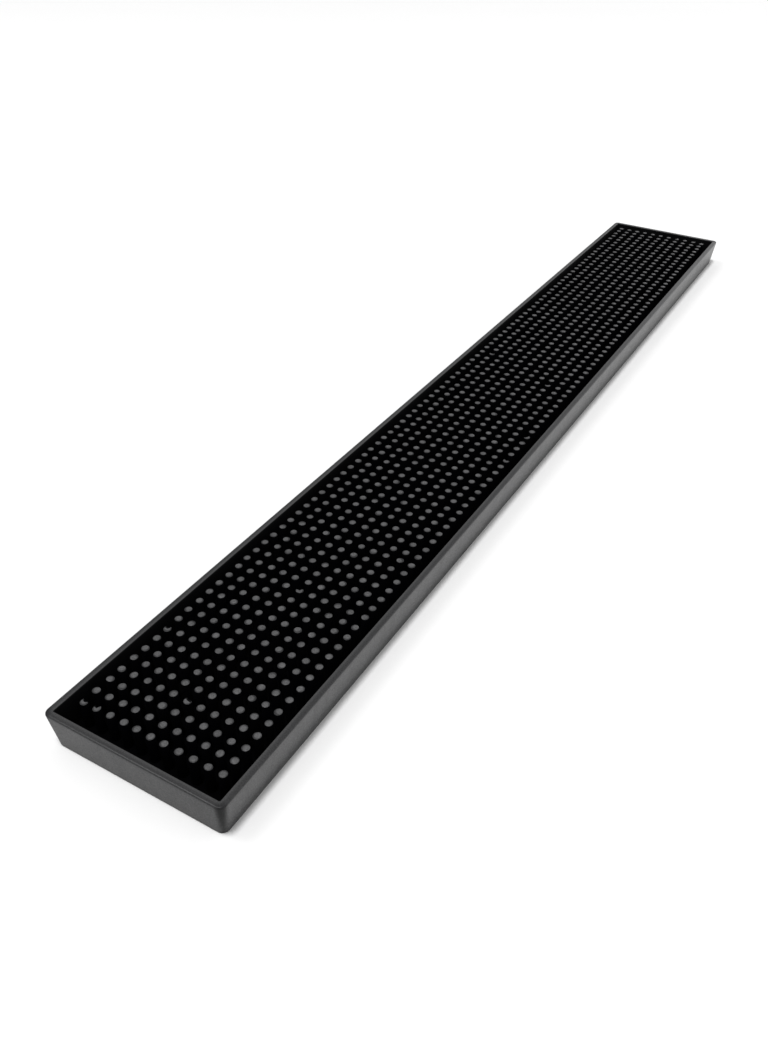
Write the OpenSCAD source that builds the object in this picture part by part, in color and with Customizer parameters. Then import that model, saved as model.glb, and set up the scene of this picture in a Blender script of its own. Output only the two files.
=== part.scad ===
// Bar rail mat: a long, narrow rubber tray moulded in one piece. A raised rim with leaning
// walls runs round a floor that carries a square field of upright round nubs. Glasses stand
// on the nub tops, and spills drain between the nubs and stay inside the rim.
//
// Each node is one region of the moulding. The regions meet face to face and leave no gap.
// The origin is on the underside at the centre. X runs across, Y along and Z up.

/* [Mat] */
// Overall length over the top of the rim
mat_l = 600; // [560:5:900]
// Overall width over the top of the rim
mat_w = 80; // [76:1:110]
// Height from the underside to the top of the rim
mat_h = 16.5; // [14:0.5:22]
// Thickness of the floor under the nubs
floor_t = 4.5; // [3:0.5:7]

/* [Rim] */
// Width of the flat lip along the top of the rim
lip_w = 3; // [2.8:0.1:3.6]
// How far the outer face leans out between the foot and the lip
outer_lean = 1.8; // [1:0.1:3.2]
// How far the inner face leans out between the floor and the lip
inner_lean = 1.4; // [1:0.1:1.6]
// Radius of the four upright outer corners
corner_r = 3; // [1.5:0.1:4]
// Radius of the edge between the lip and the outer face
lip_edge_r = 0.7; // [0.3:0.1:1]

/* [Nubs] */
// Number of nub columns across the mat
columns = 11; // [7:2:11]
// Number of nubs in each column
rows = 91; // [41:2:91]
// From the side of the rim to the middle of the nearest nub column
side_margin = 8.75; // [8.5:0.25:10]
// From the end of the rim to the middle of a column's last nub
end_margin = 12; // [10:0.5:16]
// Diameter of a nub near its flat top
nub_top_d = 3.3; // [2.8:0.1:3.6]
// Diameter of a nub where it leaves the floor
nub_root_d = 3.9; // [3.6:0.1:4.6]
// Height of the small chamfer round a nub's top
nub_chamfer = 0.25; // [0.1:0.05:0.5]

/* [Hidden] */
half_l = mat_l / 2;
half_w = mat_w / 2;
// Space between nub columns, and between nubs in a column, centre to centre
pitch_x = (mat_w - 2 * side_margin) / (columns - 1);
pitch_y = (mat_l - 2 * end_margin) / (rows - 1);
// Depth of the floor strip that each nub column roots in, flush with the floor's upper face
root_t = 1.2;
// How far the strip reaches beyond the nubs' roots on each side
root_shoulder = 0.2;
// Width of that strip, and its length with half a width beyond the end nubs' centres
root_w = nub_root_d + 2 * root_shoulder;
root_l = (rows - 1) * pitch_y + root_w;
// Steps in the rounded edge of the lip, from its widest line to its top
edge_steps = 4;
// Facets round a full circle: of the mat's outer corners, and of a nub
corner_facets = 48;
nub_facets = 32;
// Side of the square patch that holds one corner of the rim, a little more than it needs
patch_margin = 0.5;
patch = max(lip_w + inner_lean, outer_lean + corner_r) + patch_margin;
// A length that is safely beyond the mat
over = 1;
// Least thickness of the layers that a corner is hulled from
skin = 0.01;
rim_rubber = [0.30, 0.30, 0.31];
floor_rubber = [0.08, 0.08, 0.085];
nub_rubber = [0.38, 0.38, 0.39];

function column_name(i) = str("nub_column_", i < 9 ? "0" : "", i + 1);
column_names = [for (i = [0 : columns - 1]) column_name(i)];

// Places across the rim are measured outward from its widest line, so all are negative or 0
inner_foot = -(lip_w + inner_lean);
// Lean of the outer face from upright, in degrees
lean_a = atan(outer_lean / mat_h);
// Height and place of the centre of the rounded lip edge
edge_z = mat_h - lip_edge_r;
edge_out = -lip_edge_r;
// Place of the outer face, carried up to the height of that centre
face_top = lip_edge_r * (1 / cos(lean_a) - 1);

// Place of the outer face at height z
function outer_at(z) = face_top - outer_lean * (edge_z - z) / mat_h;

// One point [place, height] of the rounded lip edge, at angle a above level
function edge_point(a) = [edge_out + lip_edge_r * cos(a), edge_z + lip_edge_r * sin(a)];

edge_points = concat(
    [edge_point(-lean_a)],
    [for (k = [0 : edge_steps]) edge_point(90 * k / edge_steps)]
);

// Section of the rim, place to the right and height up
module rim_section() {
    polygon(concat(
        [[inner_foot, 0], [outer_at(0), 0]],
        edge_points,
        [[-lip_w, mat_h], [inner_foot, floor_t]]
    ));
}

// A straight length of rim that lies along Y, with its widest line at X = 0
module rim_bar(length) {
    rotate([90, 0, 0])
        linear_extrude(height = length, center = true)
            rim_section();
}

module rim_left() {
    color(rim_rubber)
        translate([-half_w, 0, 0])
            rotate([0, 0, 180])
                rim_bar(mat_l - 2 * patch);
}

module rim_right() {
    color(rim_rubber)
        translate([half_w, 0, 0])
            rim_bar(mat_l - 2 * patch);
}

module rim_front() {
    color(rim_rubber)
        translate([0, -half_l, 0])
            rotate([0, 0, -90])
                rim_bar(mat_w - 2 * patch);
}

module rim_back() {
    color(rim_rubber)
        translate([0, half_l, 0])
            rotate([0, 0, 90])
                rim_bar(mat_w - 2 * patch);
}

// One layer of the outer corner at height z: the outer faces are at place p and the rounding
// is centred at place c. The rim's widest lines cross at the origin, with the mat to -X and -Y
module corner_layer(p, z, c) {
    translate([c, c, z])
        cylinder(h = skin, r = p - c, $fn = corner_facets);
    translate([-patch - over, -patch - over, z])
        cube([over, patch + over + p, skin]);
    translate([-patch - over, -patch - over, z])
        cube([patch + over + p, over, skin]);
}

// The corner's outer shape, solid inside, a little beyond the patch
module corner_block() {
    hull() {
        corner_layer(outer_at(0), 0, outer_at(0) - corner_r);
        for (q = edge_points)
            corner_layer(q[0], q[1] - skin, face_top - corner_r);
    }
}

// The space inside the rim at a corner, with upright mitred inner edges
module corner_recess() {
    side = 2 * patch;
    intersection() {
        rotate([90, 0, 0])
            linear_extrude(height = 2 * side, center = true)
                recess_section(side);
        rotate([90, 0, 90])
            linear_extrude(height = 2 * side, center = true)
                recess_section(side);
    }
}

// Section of the space inside one wall, from the floor to above the lip
module recess_section(side) {
    slope = inner_lean / (mat_h - floor_t);
    polygon([
        [-side, 0],
        [inner_foot, 0],
        [inner_foot, floor_t],
        [-lip_w + slope * over, mat_h + over],
        [-side, mat_h + over]
    ]);
}

module rim_corner() {
    difference() {
        intersection() {
            corner_block();
            translate([-patch, -patch, -over])
                cube([patch + over, patch + over, mat_h + 2 * over]);
        }
        corner_recess();
    }
}

module corner_back_right() {
    color(rim_rubber)
        translate([half_w, half_l, 0])
            rim_corner();
}

module corner_back_left() {
    color(rim_rubber)
        mirror([1, 0, 0])
            translate([half_w, half_l, 0])
                rim_corner();
}

module corner_front_right() {
    color(rim_rubber)
        mirror([0, 1, 0])
            translate([half_w, half_l, 0])
                rim_corner();
}

module corner_front_left() {
    color(rim_rubber)
        rotate([0, 0, 180])
            translate([half_w, half_l, 0])
                rim_corner();
}

// Place of a column's centre line
function column_x(i) = (i - (columns - 1) / 2) * pitch_x;

module floor_sheet() {
    inside_w = mat_w + 2 * inner_foot;
    inside_l = mat_l + 2 * inner_foot;
    color(floor_rubber)
        difference() {
            translate([-inside_w / 2, -inside_l / 2, 0])
                cube([inside_w, inside_l, floor_t]);
            for (i = [0 : columns - 1])
                translate([column_x(i) - root_w / 2, -root_l / 2, floor_t - root_t])
                    cube([root_w, root_l, root_t + over]);
        }
}

// Half of a nub's outline, from its axis outwards, standing on height 0
module nub_outline() {
    nub_h = mat_h - floor_t;
    polygon([
        [0, -root_t / 2],
        [nub_root_d / 2, -root_t / 2],
        [nub_root_d / 2, 0],
        [nub_top_d / 2, nub_h - nub_chamfer],
        [nub_top_d / 2 - nub_chamfer, nub_h],
        [0, nub_h]
    ]);
}

// One column of nubs with the strip of floor that they root in
module nub_column(i) {
    color(nub_rubber)
        translate([column_x(i), 0, 0])
            union() {
                translate([-root_w / 2, -root_l / 2, floor_t - root_t])
                    cube([root_w, root_l, root_t]);
                for (j = [0 : rows - 1])
                    translate([0, (j - (rows - 1) / 2) * pitch_y, floor_t])
                        rotate_extrude($fn = nub_facets)
                            nub_outline();
            }
}

floor_sheet();
rim_left();
rim_right();
rim_front();
rim_back();
corner_front_left();
corner_front_right();
corner_back_left();
corner_back_right();
for (i = [0 : columns - 1])
    nub_column(i);
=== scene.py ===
"""Looks of a moulded rubber bar rail mat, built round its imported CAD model.

The mat is a long, narrow tray: a rim with leaning walls, a plain floor and a square field of
upright round nubs. Here the rim becomes one seamless swept ring, the floor one slab, and each
column of nubs one piece whose nubs stand a little unevenly, as cast rubber does. Every length
is in metres, in the CAD model's frame: X across the mat, Y along it and Z up.
"""

import logging
import math
import random
from dataclasses import dataclass, field
from enum import Enum

import bmesh
import bpy
from mathutils import Matrix, Vector


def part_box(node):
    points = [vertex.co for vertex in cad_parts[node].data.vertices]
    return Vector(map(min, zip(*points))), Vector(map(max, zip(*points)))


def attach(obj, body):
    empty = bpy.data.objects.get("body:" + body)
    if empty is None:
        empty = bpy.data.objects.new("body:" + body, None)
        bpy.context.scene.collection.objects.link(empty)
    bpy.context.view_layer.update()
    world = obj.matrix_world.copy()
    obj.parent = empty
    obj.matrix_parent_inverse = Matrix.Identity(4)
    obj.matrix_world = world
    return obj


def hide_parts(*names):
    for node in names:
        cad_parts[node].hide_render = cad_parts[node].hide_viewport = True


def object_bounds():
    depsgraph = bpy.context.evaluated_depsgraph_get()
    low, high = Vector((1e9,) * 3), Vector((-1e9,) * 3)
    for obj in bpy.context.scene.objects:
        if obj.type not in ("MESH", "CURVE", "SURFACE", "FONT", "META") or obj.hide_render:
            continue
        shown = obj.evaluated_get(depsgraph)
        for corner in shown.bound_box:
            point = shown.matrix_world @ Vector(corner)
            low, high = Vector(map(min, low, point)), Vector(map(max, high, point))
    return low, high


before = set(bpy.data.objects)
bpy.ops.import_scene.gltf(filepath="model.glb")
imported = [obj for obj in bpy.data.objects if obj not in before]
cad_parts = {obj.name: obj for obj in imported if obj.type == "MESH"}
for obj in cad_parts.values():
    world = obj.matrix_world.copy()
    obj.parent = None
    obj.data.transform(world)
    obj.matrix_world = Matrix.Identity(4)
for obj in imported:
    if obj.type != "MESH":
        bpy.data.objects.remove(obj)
cad_low, cad_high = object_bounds()

log = logging.getLogger("bar_mat")

BODY = "root"
MM = 0.001
TOUCH = 0.01 * MM  # points closer than this to a level are taken as on it
RUBBER_IOR = 1.5
Colour = tuple[float, float, float]


class Region(Enum):
    """The CAD nodes that each looks piece stands for."""

    RIM = (
        "rim_left",
        "rim_right",
        "rim_front",
        "rim_back",
        "corner_front_left",
        "corner_front_right",
        "corner_back_left",
        "corner_back_right",
    )
    FLOOR = ("floor_sheet",)


class Slot(Enum):
    """The record's material slots."""

    RIM = "rim_rubber"
    FLOOR = "floor_rubber"
    NUB = "nub_rubber"


# ----------------------------------------------------------------------------------------
# Shader building
# ----------------------------------------------------------------------------------------


class Wire:
    """One shader value that takes part in Python arithmetic."""

    def __init__(self, shader: "Shader", socket: bpy.types.NodeSocket) -> None:
        """Keeps the shader that the value belongs to and the socket that gives it."""
        self.shader = shader
        self.socket = socket

    def _math(self, operation: str, *terms: "Wire | float") -> "Wire":
        """Adds one Math node.

        Args:
            operation: The Math node's operation.
            terms: Its inputs, in order.

        Returns:
            The node's value.
        """
        return self.shader.node("ShaderNodeMath", {"operation": operation}, *terms)

    def __add__(self, other: "Wire | float") -> "Wire":
        """Sum."""
        return self._math("ADD", self, other)

    __radd__ = __add__

    def __sub__(self, other: "Wire | float") -> "Wire":
        """Difference."""
        return self._math("SUBTRACT", self, other)

    def __rsub__(self, other: "Wire | float") -> "Wire":
        """Difference, with a plain number first."""
        return self._math("SUBTRACT", other, self)

    def __mul__(self, other: "Wire | float") -> "Wire":
        """Product."""
        return self._math("MULTIPLY", self, other)

    __rmul__ = __mul__

    def __truediv__(self, other: "Wire | float") -> "Wire":
        """Quotient."""
        return self._math("DIVIDE", self, other)

    def __abs__(self) -> "Wire":
        """Size without sign."""
        return self._math("ABSOLUTE", self)

    def larger(self, other: "Wire | float") -> "Wire":
        """The larger of two values."""
        return self._math("MAXIMUM", self, other)

    def smaller(self, other: "Wire | float") -> "Wire":
        """The smaller of two values."""
        return self._math("MINIMUM", self, other)

    def rounded(self) -> "Wire":
        """The nearest whole number."""
        return self._math("ROUND", self)

    def about_one(self, swing: float) -> "Wire":
        """A multiplier round 1, from a value between 0 and 1.

        Args:
            swing: How far apart its lowest and highest results are.

        Returns:
            The multiplier, which is 1 where the value is one half.
        """
        return self * swing + (1 - swing / 2)

    def ramp(self, start: float, end: float, low: float = 0.0, high: float = 1.0) -> "Wire":
        """A smooth step.

        Args:
            start: The value at which the step starts.
            end: The value at which it ends.
            low: The result up to start.
            high: The result from end on.

        Returns:
            The stepped value.
        """
        settings = {"interpolation_type": "SMOOTHSTEP", "clamp": True}
        return self.shader.node("ShaderNodeMapRange", settings, self, start, end, low, high)


class Shader:
    """A material with one Principled surface, and the nodes that feed it."""

    def __init__(self, name: str) -> None:
        """Makes an empty node material called name."""
        self.material = bpy.data.materials.new(name)
        self.material.use_nodes = True
        self.tree = self.material.node_tree
        self.tree.nodes.clear()
        coordinates = self.tree.nodes.new("ShaderNodeTexCoord")
        self.place = Wire(self, coordinates.outputs["Object"])

    def node(
        self,
        kind: str,
        settings: dict[str, object] | None = None,
        *values: "Wire | float | tuple",
        output: int = 0,
        **named: "Wire | float | tuple",
    ) -> Wire:
        """Adds a node.

        Args:
            kind: The node's type.
            settings: The node's own settings, applied before its inputs.
            values: Values or wires for its inputs, in order.
            output: The index of the output that is wanted.
            named: Values or wires for inputs by name, with _ for a space.

        Returns:
            The wanted output.
        """
        made = self.tree.nodes.new(kind)
        for key, value in (settings or {}).items():
            setattr(made, key, value)
        inputs = [s for s in made.inputs if s.enabled]
        pairs = list(zip(inputs, values))
        by_name = {s.name: s for s in inputs}
        pairs += [(by_name[key.replace("_", " ")], value) for key, value in named.items()]
        for socket, value in pairs:
            self.feed(socket, value)
        enabled = [s for s in made.outputs if s.enabled]
        return Wire(self, enabled[output])

    def feed(self, socket: bpy.types.NodeSocket, value: "Wire | float | tuple") -> None:
        """Links a wire to a socket, or sets the socket's own value.

        Args:
            socket: The input to fill.
            value: A wire, a number, or a tuple of numbers.
        """
        if isinstance(value, Wire):
            self.tree.links.new(value.socket, socket)
        elif isinstance(value, tuple) and socket.type == "RGBA":
            socket.default_value = (*value, 1.0)
        else:
            socket.default_value = value

    def axes(self) -> tuple[Wire, Wire, Wire]:
        """The X, Y and Z of the point that is shaded, in metres."""
        split = self.node("ShaderNodeSeparateXYZ", None, self.place).socket.node
        return tuple(Wire(self, s) for s in split.outputs)

    def facing_up(self) -> Wire:
        """The upward part of the surface's own direction, 1 on a level top."""
        direction = self.node("ShaderNodeNewGeometry", None, output=1)
        split = self.node("ShaderNodeSeparateXYZ", None, direction).socket.node
        return Wire(self, split.outputs["Z"])

    def noise(
        self, size: float, detail: float = 2.0, stretch: tuple[float, float, float] = (1, 1, 1)
    ) -> Wire:
        """Soft noise from 0 to 1.

        Args:
            size: The size of its blotches in metres.
            detail: How many finer layers it has.
            stretch: How much longer the blotches are along each axis.

        Returns:
            The noise value.
        """
        scale = tuple(1 / s for s in stretch)
        place = self.node("ShaderNodeMapping", None, self.place, Scale=scale)
        return self.node(
            "ShaderNodeTexNoise", None, place, Scale=1 / size, Detail=detail, Roughness=0.55
        )

    def mix(self, factor: Wire, first: "Colour | Wire", second: "Colour | Wire") -> Wire:
        """Blends two colours.

        Args:
            factor: 0 for the first colour and 1 for the second.
            first: A colour or a wire.
            second: A colour or a wire.

        Returns:
            The blended colour.
        """
        settings = {"data_type": "RGBA", "clamp_factor": True}
        return self.node("ShaderNodeMix", settings, factor, first, second)

    def scaled(self, colour: "Colour | Wire", amount: Wire) -> Wire:
        """A colour made lighter or darker by a varying amount."""
        return self.node("ShaderNodeVectorMath", {"operation": "SCALE"}, colour, Scale=amount)

    def bump(self, height: Wire, depth: float, strength: float) -> Wire:
        """A surface direction from a height.

        Args:
            height: The relief, from 0 to 1.
            depth: How deep the relief is at 1, in metres.
            strength: How far it turns the surface.

        Returns:
            The direction.
        """
        return self.node(
            "ShaderNodeBump", None, Strength=strength, Distance=depth, Height=height
        )

    def surface(self, **values: "Wire | float | tuple") -> bpy.types.Material:
        """Ends the material.

        Args:
            values: The Principled shader's inputs by name, with _ for a space.

        Returns:
            The finished material.
        """
        shell = self.node("ShaderNodeBsdfPrincipled", None, **values)
        output = self.tree.nodes.new("ShaderNodeOutputMaterial")
        self.tree.links.new(shell.socket, output.inputs["Surface"])
        return self.material


# ----------------------------------------------------------------------------------------
# Sizes
# ----------------------------------------------------------------------------------------


@dataclass(frozen=True)
class MatSizes:
    """The mat's sizes, read from the CAD model where a node gives them."""

    half_w: float
    half_l: float
    height: float
    floor_z: float
    foot_inset: float
    inner_half_w: float
    inner_half_l: float
    lip_w: float = 3.0 * MM
    corner_r: float = 3.0 * MM
    nub_top_r: float = 1.65 * MM
    nub_root_r: float = 1.95 * MM
    nub_rows: int = 91
    end_margin: float = 12.0 * MM

    @classmethod
    def from_cad(cls) -> "MatSizes":
        """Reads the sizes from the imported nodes' boxes."""
        floor_low, floor_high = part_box("floor_sheet")
        points = [v.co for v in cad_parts["rim_right"].data.vertices]
        foot = min(p.z for p in points)
        foot_x = max(p.x for p in points if p.z < foot + TOUCH)
        return cls(
            half_w=cad_high.x,
            half_l=cad_high.y,
            height=cad_high.z,
            floor_z=floor_high.z,
            foot_inset=cad_high.x - foot_x,
            inner_half_w=floor_high.x,
            inner_half_l=floor_high.y,
        )

    @property
    def pitch_y(self) -> float:
        """Space between two nubs of a column."""
        return 2 * (self.half_l - self.end_margin) / (self.nub_rows - 1)


# ----------------------------------------------------------------------------------------
# Finishes
# ----------------------------------------------------------------------------------------


@dataclass(frozen=True)
class RimFinish:
    """Dull dark grey moulded rubber with a fine grain and a scuffed outer face, and painted shade:
    a darker outer band on the lip, an outer face darker round the corners, at the foot and under
    the lip, near-black inside the tray, and less coat painted on the ends than on the sides.
    """

    name: str = "rim_rubber_looks"
    face: Colour = (0.027, 0.027, 0.028)
    # Painted shade: the darker colour of the lip's outer band, where its rounding turns away from
    # the light.
    lip_outer_painted_shade: Colour = (0.014, 0.014, 0.015)
    lip: Colour = (0.033, 0.033, 0.034)
    # Painted shade: near-black for the inside of the rim, which stands in the shade of the tray.
    inside: Colour = (0.0012, 0.0012, 0.0016)
    grain: float = 0.50 * MM
    blotch: float = 14 * MM
    scuff: float = 2.2 * MM
    streak: float = 3.5 * MM
    roughness: float = 0.66
    coat_roughness: float = 0.36
    # How dark the painted shade makes the outer face round the corners, at the foot and just under
    # the lip.
    corner_painted_shade_level: float = 0.24
    foot_painted_shade_level: float = 0.55
    under_lip_painted_shade_level: float = 0.90
    # Painted: the coat on the ends is made weaker than on the sides, to match how the light falls
    # on each.
    end_sheen: float = 0.60
    side_sheen: float = 0.94
    lip_sheen: float = 0.9
    relief_depth: float = 0.05 * MM

    def build(self, sizes: MatSizes) -> bpy.types.Material:
        """Makes the material.

        Args:
            sizes: The mat's sizes, which place the lip, the face and the foot.

        Returns:
            The material.
        """
        s = Shader(self.name)
        x, y, z = s.axes()
        side = abs(x) - sizes.half_w
        end = abs(y) - sizes.half_l
        inward = side.larger(end)
        blotches = s.noise(self.blotch, detail=3.0)
        grain = s.noise(self.grain, detail=3.0)
        scuffs = s.noise(self.scuff, detail=4.0, stretch=(1, 1, 3))
        streaks = s.noise(self.streak, detail=3.0, stretch=(1, 1, 6))

        top = sizes.height
        on_lip = z.ramp(top - 0.60 * MM, top - 0.30 * MM)
        # The lip's outer band takes the painted-shade colour and its inner part the lip's own
        # colour.
        inner_band = (inward + (grain - 0.5) * (0.5 * MM)).ramp(-1.2 * MM, -2.4 * MM)
        # Inside the rim and below its top the colour is the painted near-black shade, and the coat
        # is taken off there.
        within = inward.ramp(-sizes.lip_w + 0.60 * MM, -sizes.lip_w + 0.15 * MM)
        below = z.ramp(top - 0.01 * MM, top - 0.15 * MM)

        # Painted shade on the outer face, in its colour and its coat: darker round the corners,
        # towards the foot and just under the lip. Only the vertical streaks are marks of the
        # rubber itself.
        corner = side.smaller(end).ramp(-4.2 * MM, -1.4 * MM, 1.0, self.corner_painted_shade_level)
        foot = z.ramp(0.0, 0.9 * MM, self.foot_painted_shade_level, 1.0) * (0.68 + z * (0.42 / top))
        under_lip_painted_shade = z.ramp(top - 2.4 * MM, top - 1.0 * MM, 1.0, self.under_lip_painted_shade_level)
        face_painted_shade_and_streaks = foot * under_lip_painted_shade * corner * streaks.about_one(0.30)
        # Painted: the ends get less coat than the sides, to match how the light falls on them.
        along = (side - end).ramp(-1 * MM, 1 * MM, self.end_sheen, self.side_sheen)
        face_sheen = streaks.about_one(0.28) * along
        speckle = grain.about_one(1.5)
        shade = blotches.about_one(0.32) * speckle
        shade = shade * (1 + 0.16 * scuffs.ramp(0.58, 0.74))
        lip = s.mix(inner_band, self.lip_outer_painted_shade, self.lip)
        outside = s.mix(on_lip, s.scaled(self.face, face_painted_shade_and_streaks), lip)
        colour = s.scaled(s.mix(within * below, outside, self.inside), shade)

        roughness = self.roughness + 0.14 * (blotches - 0.5) - 0.08 * scuffs.ramp(0.6, 0.8)
        relief = grain * 0.7 + scuffs * 0.3
        # The coat takes the same painted shade at the foot and under the lip.
        sheen = foot * under_lip_painted_shade * face_sheen * (1 - on_lip) + self.lip_sheen * on_lip
        return s.surface(
            Base_Color=colour,
            Roughness=roughness,
            IOR=RUBBER_IOR,
            Specular_IOR_Level=0.08,
            Coat_Weight=(1 - within * below) * corner * sheen * speckle,
            Coat_Roughness=self.coat_roughness,
            Coat_IOR=RUBBER_IOR,
            Normal=s.bump(relief, self.relief_depth, 0.55),
        )


@dataclass(frozen=True)
class FloorFinish:
    """The floor's top painted near-black as the shade at the bottom of the tray, with a faint
    sheen where drink has dried; its underside keeps the rubber's own dark grey.
    """

    name: str = "floor_rubber_looks"
    # Painted shade: the top of the floor is near-black, far darker than the rubber's own grey
    # underside; the dried stains are only a little lighter.
    base: Colour = (0.0005, 0.0005, 0.0007)
    stain: Colour = (0.0010, 0.0010, 0.0013)
    underside: Colour = (0.030, 0.030, 0.031)
    stain_size: float = 9 * MM
    grain: float = 0.4 * MM
    relief_depth: float = 0.04 * MM

    def build(self, sizes: MatSizes) -> bpy.types.Material:
        """Makes the material.

        Args:
            sizes: The mat's sizes; not used.

        Returns:
            The material.
        """
        s = Shader(self.name)
        z = s.axes()[2]
        stains = s.noise(self.stain_size, detail=4.0)
        grain = s.noise(self.grain, detail=2.0)
        # The top takes the painted shade with its dried stains, the underside the rubber's own
        # grey.
        above = z.ramp(0.2 * MM, 0.6 * MM)
        upper = s.mix(stains.ramp(0.52, 0.70), self.base, self.stain)
        lower = s.scaled(self.underside, grain.about_one(0.3))
        return s.surface(
            Base_Color=s.mix(above, lower, upper),
            Roughness=stains.ramp(0.4, 0.7, 0.72, 0.5),
            IOR=RUBBER_IOR,
            Specular_IOR_Level=0.01,
            Normal=s.bump(grain, self.relief_depth, 0.6),
        )


@dataclass(frozen=True)
class NubFinish:
    """Dark rubber nubs: dull grey flat tops that differ a little from nub to nub and darken
    towards the edge, and sides painted near-black as shade.
    """

    name: str = "nub_rubber_looks"
    # Painted shade: the sides are near-black, standing for the deep shade between the nubs.
    side: Colour = (0.0012, 0.0012, 0.0017)
    grey_top: Colour = (0.066, 0.066, 0.068)
    edge: Colour = (0.016, 0.016, 0.017)
    grain: float = 0.45 * MM
    patch: float = 1.1 * MM
    drift: float = 60 * MM
    coat_roughness: float = 0.42
    coat_ior: float = 1.48
    relief_depth: float = 0.06 * MM

    def build(self, sizes: MatSizes, pitch_x: float) -> bpy.types.Material:
        """Makes the material.

        Args:
            sizes: The mat's sizes, which place the tops.
            pitch_x: The space between two columns.

        Returns:
            The material.
        """
        s = Shader(self.name)
        x, y, z = s.axes()
        column = (x / pitch_x).rounded()
        row = (y / sizes.pitch_y).rounded()
        cell = s.node("ShaderNodeCombineXYZ", None, column, row, 0.0)
        tone = s.node("ShaderNodeTexWhiteNoise", {"noise_dimensions": "3D"}, cell)
        across = x - column * pitch_x
        along = y - row * sizes.pitch_y
        offset = s.node("ShaderNodeCombineXYZ", None, across, along, 0.0)
        out = s.node("ShaderNodeVectorMath", {"operation": "LENGTH"}, offset)

        grain = s.noise(self.grain, detail=3.0)
        patches = s.noise(self.patch, detail=3.0)
        drift = s.noise(self.drift, detail=1.0)
        high = z.ramp(sizes.height - 1.0 * MM, sizes.height - 0.7 * MM)
        # The upward-facing top takes the grey; the sides below it take the painted near-black
        # shade and no coat.
        grey_top = s.facing_up().ramp(0.55, 0.92) * high
        ring = (out + (patches - 0.5) * self.patch).ramp(
            sizes.nub_top_r * 0.56, sizes.nub_top_r * 0.94
        )

        shade = tone.about_one(0.28) * patches.about_one(1.08) * grain.about_one(1.6)
        shade = shade * drift.about_one(0.2)
        cap = s.scaled(s.mix(ring * 0.85, self.grey_top, self.edge), shade)
        return s.surface(
            Base_Color=s.mix(grey_top, self.side, cap),
            Roughness=grey_top * 0.32 + patches * 0.1 + 0.36,
            IOR=RUBBER_IOR,
            Specular_IOR_Level=0.04,
            Coat_Weight=grey_top * (0.8 - 0.5 * ring) * grain.about_one(1.4),
            Coat_Roughness=self.coat_roughness,
            Coat_IOR=self.coat_ior,
            Normal=s.bump(grain * 0.6 + patches * 0.4, self.relief_depth, 0.6),
        )


@dataclass(frozen=True)
class PaleTable:
    """The plain white table top that the mat is shown on."""

    name: str = "table_white"
    base: Colour = (0.90, 0.90, 0.90)

    def build(self) -> bpy.types.Material:
        """Makes the material."""
        s = Shader(self.name)
        tint = s.noise(0.3, detail=2.0)
        return s.surface(
            Base_Color=s.scaled(self.base, tint.about_one(0.02)), Roughness=0.85,
            Specular_IOR_Level=0.2,
        )


# ----------------------------------------------------------------------------------------
# Mesh helpers
# ----------------------------------------------------------------------------------------


def finished_piece(
    bm: bmesh.types.BMesh, name: str, material: bpy.types.Material, sharp_deg: float
) -> bpy.types.Object:
    """Turns a bmesh into a smooth-shaded object at the origin.

    Args:
        bm: The mesh, in the CAD model's frame. It is freed here.
        name: The piece's name.
        material: Its one material.
        sharp_deg: Edges bent by more than this stay sharp.

    Returns:
        The object, linked to the scene.
    """
    for face in bm.faces:
        face.smooth = True
    mesh = bpy.data.meshes.new(name)
    bm.to_mesh(mesh)
    bm.free()
    mesh.set_sharp_from_angle(angle=math.radians(sharp_deg))
    mesh.materials.append(material)
    piece = bpy.data.objects.new(name, mesh)
    bpy.context.scene.collection.objects.link(piece)
    return piece


def round_outline(
    bm: bmesh.types.BMesh, half_w: float, half_l: float, radius: float, z: float, steps: int
) -> list[bmesh.types.BMEdge]:
    """Adds one rounded rectangle as a loop of edges, centred on the Z axis.

    Args:
        bm: The mesh to add to.
        half_w: Half its width along X.
        half_l: Half its length along Y.
        radius: The radius of its corners.
        z: Its height.
        steps: The edges in each corner's arc.

    Returns:
        The loop's edges.
    """
    grid = bmesh.ops.create_grid(bm, x_segments=1, y_segments=1, size=1.0)
    corners = grid["verts"]
    bmesh.ops.scale(bm, vec=(half_w, half_l, 1.0), verts=corners)
    bmesh.ops.translate(bm, vec=(0.0, 0.0, z), verts=corners)
    rounded = bmesh.ops.bevel(
        bm,
        geom=corners,
        affect="VERTICES",
        offset=radius,
        segments=steps,
        profile=0.5,
        material=-1,
    )
    face = next(f for f in bm.faces if f.is_valid and f.verts[0] in set(rounded["verts"]))
    edges = list(face.edges)
    bmesh.ops.delete(bm, geom=[face], context="FACES_ONLY")
    return edges


# ----------------------------------------------------------------------------------------
# Sub-assemblies
# ----------------------------------------------------------------------------------------


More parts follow.
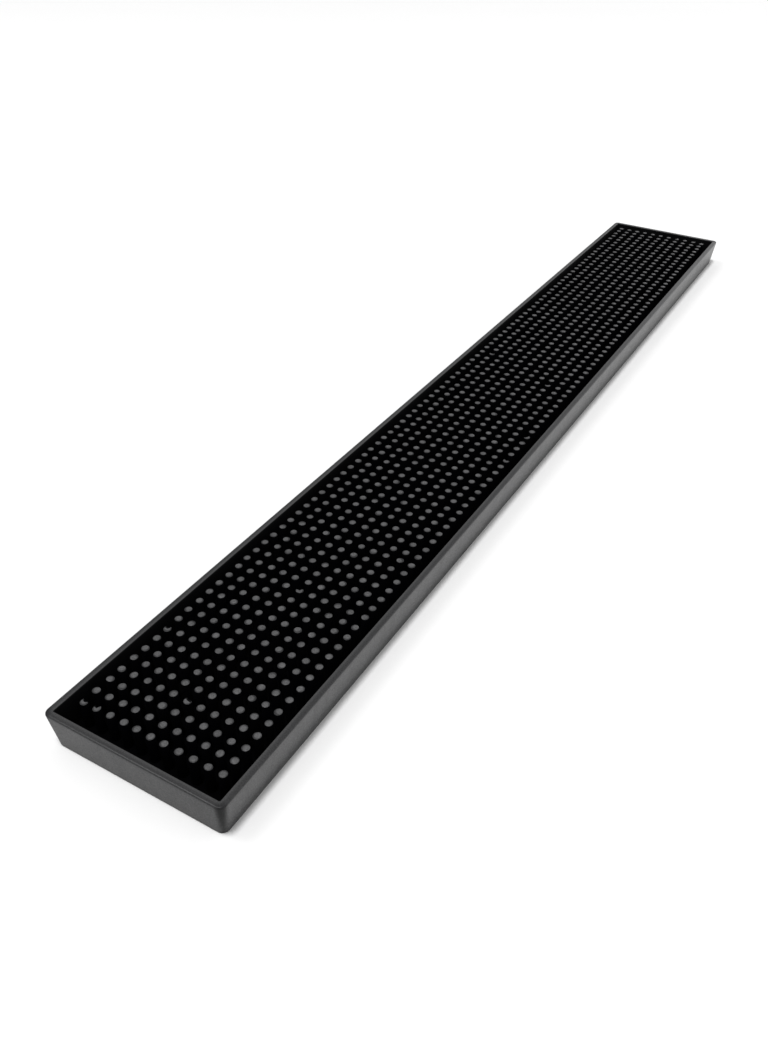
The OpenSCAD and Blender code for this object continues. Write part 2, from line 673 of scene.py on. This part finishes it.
@dataclass
class Rim:
    """The raised rim: one section swept round the mat's outline, with rounded edges.

    The outlines are first stacked like a ladder, rung apart, so that each bridges cleanly to
    the next, and are then moved to their own heights.
    """

    sizes: MatSizes
    finish: RimFinish = field(default_factory=RimFinish)
    lip_edge_r: float = 0.7 * MM
    inner_edge_r: float = 0.6 * MM
    foot_edge_r: float = 0.5 * MM
    inner_corner_r: float = 0.6 * MM
    flat_margin: float = 0.12 * MM
    arc_steps: int = 4
    corner_steps: int = 8
    rung: float = 10.0 * MM

    def section(self) -> list[tuple[float, float, float]]:
        """Works out the rim's section.

        Returns:
            Points round the section, each as its place inward from the widest line (negative
            is inside it), its height and the radius of the outline's corner there.
        """
        s = self.sizes
        lean = s.foot_inset / s.height
        inner = s.half_w - s.inner_half_w
        points = []

        def arc(centre: tuple[float, float], radius: float, start: float, end: float,
                corner: float, swell: float) -> None:
            """Adds an arc of the section, whose corner radius follows it by swell."""
            for k in range(self.arc_steps + 1):
                a = math.radians(start + (end - start) * k / self.arc_steps)
                shift = radius * math.cos(a)
                points.append(
                    (centre[0] + shift, centre[1] + radius * math.sin(a), corner + swell * shift)
                )

        lean_deg = math.degrees(math.atan(lean))
        foot_r, lip_r, in_r = self.foot_edge_r, self.lip_edge_r, self.inner_edge_r
        arc((-s.foot_inset - foot_r + lean * foot_r, foot_r), foot_r, -90, -lean_deg,
            s.corner_r - foot_r, 1.0)
        arc((-lip_r, s.height - lip_r), lip_r, -lean_deg, 90, s.corner_r - lip_r, 1.0)
        flat = self.flat_margin
        points.append((-lip_r - flat, s.height, s.corner_r - lip_r - flat))
        points.append((-s.lip_w + in_r + flat, s.height, self.inner_corner_r + flat))
        arc((-s.lip_w + in_r, s.height - in_r), in_r, 90, 180, self.inner_corner_r, 0.0)
        points.append((-inner, s.floor_z, self.inner_corner_r))
        points.append((-inner, 0.0, self.inner_corner_r))
        return points

    def make(self) -> bpy.types.Object:
        """Builds the ring and dresses it.

        Returns:
            The piece.
        """
        s = self.sizes
        section = self.section()
        bm = bmesh.new()
        loops = [
            round_outline(
                bm, s.half_w + out, s.half_l + out, corner, k * self.rung, self.corner_steps
            )
            for k, (out, _, corner) in enumerate(section)
        ]
        rings = [list({v for e in loop for v in e.verts}) for loop in loops]
        for lower, upper in zip(loops, loops[1:] + loops[:1]):
            bmesh.ops.bridge_loops(bm, edges=lower + upper)
        for k, (ring, (_, z, _)) in enumerate(zip(rings, section)):
            bmesh.ops.translate(bm, vec=(0.0, 0.0, z - k * self.rung), verts=ring)
        bmesh.ops.recalc_face_normals(bm, faces=bm.faces)
        piece = finished_piece(bm, "rim_ring", self.finish.build(s), 50)
        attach(piece, BODY)
        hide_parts(*Region.RIM.value)
        return piece


@dataclass
class Floor:
    """The floor of the tray, a slab that the nubs stand on."""

    sizes: MatSizes
    finish: FloorFinish = field(default_factory=FloorFinish)
    edge_r: float = 0.3 * MM

    def make(self) -> bpy.types.Object:
        """Builds the slab and dresses it.

        Returns:
            The piece.
        """
        low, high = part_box("floor_sheet")
        bm = bmesh.new()
        bmesh.ops.create_cube(bm, size=1.0, matrix=Matrix.Translation((low + high) / 2)
                              @ Matrix.Diagonal((*(high - low), 1.0)))
        under = [e for e in bm.edges if all(v.co.z < high.z / 2 for v in e.verts)]
        bmesh.ops.bevel(bm, geom=under, affect="EDGES", offset=self.edge_r, segments=2,
                        profile=0.5, material=-1)
        piece = finished_piece(bm, "tray_floor", self.finish.build(self.sizes), 30)
        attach(piece, BODY)
        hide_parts(*Region.FLOOR.value)
        return piece


@dataclass
class NubColumn:
    """One column of nubs that stand a little unevenly, some with a torn top."""

    sizes: MatSizes
    node: str
    seed: int
    material: bpy.types.Material
    sides: int = 16
    top_edge_r: float = 0.28 * MM
    lean_deg: float = 0.9
    sink: float = 0.10 * MM
    spread: float = 0.03
    torn_share: float = 0.012
    torn_ends: tuple[int, ...] = ()
    buried: float = 0.3 * MM
    least_drop: float = 0.08 * MM
    cap_inset: float = 0.42
    tear_turn_deg: tuple[float, float] = (100, 25)
    tear_reach: tuple[float, float] = (0.55, 0.75)
    tear_depth_mm: tuple[float, float] = (0.8, 1.6)

    def nub(self, bm: bmesh.types.BMesh) -> list[bmesh.types.BMVert]:
        """Adds one upright nub on the Z axis.

        Args:
            bm: The mesh to add to.

        Returns:
            The nub's vertices.
        """
        s = self.sizes
        start = s.floor_z - self.buried
        length = s.height - start
        before = set(bm.verts)
        bmesh.ops.create_cone(
            bm, cap_ends=True, segments=self.sides, radius1=s.nub_root_r, radius2=s.nub_top_r,
            depth=length, matrix=Matrix.Translation((0.0, 0.0, start + length / 2)),
        )
        mine = [v for v in bm.verts if v not in before]
        top = {v for v in mine if v.co.z > s.height - TOUCH}
        rim = {e for v in mine for e in v.link_edges if set(e.verts) <= top}
        bmesh.ops.bevel(bm, geom=list(rim), affect="EDGES", offset=self.top_edge_r, segments=2,
                        profile=0.5, material=-1)
        return [v for v in bm.verts if v not in before]

    def tear(self, bm: bmesh.types.BMesh, verts: list[bmesh.types.BMVert],
             draw: random.Random) -> None:
        """Takes a chunk out of the side of one nub's top.

        Args:
            bm: The column's mesh.
            verts: The nub's vertices, still on the Z axis.
            draw: The column's random source.
        """
        s = self.sizes
        cap = max((f for v in verts for f in v.link_faces), key=lambda f: f.calc_center_median().z)
        inner = bmesh.ops.inset_region(bm, faces=[cap], thickness=s.nub_top_r * self.cap_inset)
        bmesh.ops.poke(bm, faces=[cap])
        mine = {w for f in inner["faces"] for w in f.verts} | set(verts)
        turn = math.radians(draw.gauss(*self.tear_turn_deg))
        toward = Vector((math.cos(turn), math.sin(turn), 0.0))
        reach = s.nub_top_r * draw.uniform(*self.tear_reach)
        upper = [v for v in mine if v.is_valid and v.co.z > s.height - 1.5 * self.top_edge_r]
        chunk = [v for v in upper if (v.co - toward * s.nub_top_r * 0.8).xy.length < reach]
        depth = draw.uniform(*self.tear_depth_mm) * MM
        bmesh.ops.translate(bm, vec=(0.0, 0.0, -depth), verts=chunk)

    def make(self) -> bpy.types.Object:
        """Builds the column and dresses it.

        Returns:
            The piece.
        """
        s = self.sizes
        draw = random.Random(self.seed)
        low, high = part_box(self.node)
        x = (low.x + high.x) / 2
        bm = bmesh.new()
        for row in range(s.nub_rows):
            y = (row - (s.nub_rows - 1) / 2) * s.pitch_y
            verts = self.nub(bm)
            if row in self.torn_ends or draw.random() < self.torn_share:
                known = set(bm.verts)
                self.tear(bm, verts, draw)
                verts += [v for v in bm.verts if v not in known]
            swell = Vector((1 + draw.gauss(0, self.spread), 1 + draw.gauss(0, self.spread), 1.0))
            bmesh.ops.scale(bm, vec=swell, verts=verts)
            lean = Matrix.Rotation(math.radians(draw.gauss(0, self.lean_deg)), 3, "X")
            lean = lean @ Matrix.Rotation(math.radians(draw.gauss(0, self.lean_deg)), 3, "Y")
            root = Vector((0.0, 0.0, s.floor_z))
            bmesh.ops.rotate(bm, cent=root, matrix=lean, verts=verts)
            drop = abs(draw.gauss(0, self.sink)) + self.least_drop
            bmesh.ops.translate(bm, vec=(x, y, -drop), verts=verts)
        name = self.node.replace("nub_column", "nubs")
        piece = finished_piece(bm, name, self.material, 30)
        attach(piece, BODY)
        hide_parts(self.node)
        return piece


@dataclass
class NubField:
    """All the columns of nubs."""

    sizes: MatSizes
    finish: NubFinish = field(default_factory=NubFinish)
    seed: int = 4100
    torn_columns: tuple[int, ...] = (0, 1)

    def make(self) -> list[bpy.types.Object]:
        """Builds every column.

        Returns:
            The pieces, from the left of the mat to the right.
        """
        nodes = sorted(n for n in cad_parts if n.startswith("nub_column"))
        lows = [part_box(n)[0].x for n in nodes]
        pitch_x = (lows[-1] - lows[0]) / (len(lows) - 1)
        material = self.finish.build(self.sizes, pitch_x)
        made = []
        for k, node in enumerate(nodes):
            torn = (0,) if k in self.torn_columns else ()
            column = NubColumn(self.sizes, node, self.seed + k, material, torn_ends=torn)
            made.append(column.make())
        return made


# ----------------------------------------------------------------------------------------
# Stage
# ----------------------------------------------------------------------------------------


@dataclass
class Studio:
    """The table, the lights and the camera."""

    eye: Vector = field(default_factory=lambda: Vector((177.3, -436.7, 270.5)) * MM)
    target: Vector = field(default_factory=lambda: Vector((-4.8, -121.5, 0.0)) * MM)
    roll_deg: float = 0.80
    lens_mm: float = 32.60
    sensor_mm: float = 36.0
    table_size: float = 16.0
    sky: float = 0.50
    key_power: float = 142.0
    key_size: float = 0.92
    key_from: Vector = field(default_factory=lambda: Vector((-0.04, -1.06, 4.8)))
    side_power: float = 36.0
    side_size: float = 1.8
    side_from: Vector = field(default_factory=lambda: Vector((-2.3, -1.1, 4.2)))
    back_power: float = 19.5
    back_size: tuple[float, float] = (5.0, 1.6)
    back_from: Vector = field(default_factory=lambda: Vector((1.4, 2.4, 0.9)))
    table: PaleTable = field(default_factory=PaleTable)

    def camera(self) -> bpy.types.Object:
        """Makes the scene's camera.

        Returns:
            The camera.
        """
        data = bpy.data.cameras.new("camera")
        data.lens = self.lens_mm
        data.sensor_fit = "AUTO"
        data.sensor_width = self.sensor_mm
        data.clip_start = 0.01
        data.clip_end = 50.0
        camera = bpy.data.objects.new("camera", data)
        bpy.context.scene.collection.objects.link(camera)
        aim = (self.target - self.eye).to_track_quat("-Z", "Y").to_matrix().to_4x4()
        roll = Matrix.Rotation(math.radians(self.roll_deg), 4, "Z")
        camera.matrix_world = Matrix.Translation(self.eye) @ aim @ roll
        bpy.context.scene.camera = camera
        return camera

    def table_top(self) -> bpy.types.Object:
        """Makes the table top.

        Returns:
            The table top.
        """
        bm = bmesh.new()
        bmesh.ops.create_grid(bm, x_segments=8, y_segments=8, size=self.table_size / 2)
        piece = finished_piece(bm, "table_top", self.table.build(), 30)
        return piece

    def panel(
        self, name: str, place: Vector, power: float, size: tuple[float, float], shape: str
    ) -> None:
        """Makes one light panel that faces the middle of the table.

        Args:
            name: The panel's name.
            place: Where its middle is, in metres.
            power: Its power in watts.
            size: Its width and height in metres.
            shape: Blender's name for its outline.
        """
        data = bpy.data.lights.new(name, "AREA")
        data.shape = shape
        data.size, data.size_y = size
        data.energy = power
        light = bpy.data.objects.new(name, data)
        bpy.context.scene.collection.objects.link(light)
        aim = (-place).to_track_quat("-Z", "Y").to_matrix().to_4x4()
        light.matrix_world = Matrix.Translation(place) @ aim

    def lights(self) -> None:
        """Makes the even sky, and the panels overhead, to the left and low at the back."""
        world = bpy.data.worlds.new("sky")
        world.use_nodes = True
        background = world.node_tree.nodes["Background"]
        background.inputs["Color"].default_value = (1.0, 1.0, 1.0, 1.0)
        background.inputs["Strength"].default_value = self.sky
        bpy.context.scene.world = world
        key_size = (self.key_size, self.key_size)
        side_size = (self.side_size, self.side_size)
        self.panel("key", self.key_from, self.key_power, key_size, "ELLIPSE")
        self.panel("side", self.side_from, self.side_power, side_size, "ELLIPSE")
        self.panel("back", self.back_from, self.back_power, self.back_size, "RECTANGLE")

    def make(self) -> None:
        """Makes the whole stage, with colours shown as they are."""
        self.camera()
        self.table_top()
        self.lights()
        view = bpy.context.scene.view_settings
        view.view_transform = "Standard"
        view.look = "None"


def main() -> None:
    """Builds the stage and the mat, and reports each piece."""
    logging.basicConfig(level=logging.INFO, format="%(name)s: %(message)s")
    sizes = MatSizes.from_cad()
    Studio().make()
    pieces = [Rim(sizes).make(), Floor(sizes).make(), *NubField(sizes).make()]
    for piece in pieces:
        log.info("%s: %d faces", piece.name, len(piece.data.polygons))


if __name__ == "__main__":
    main()
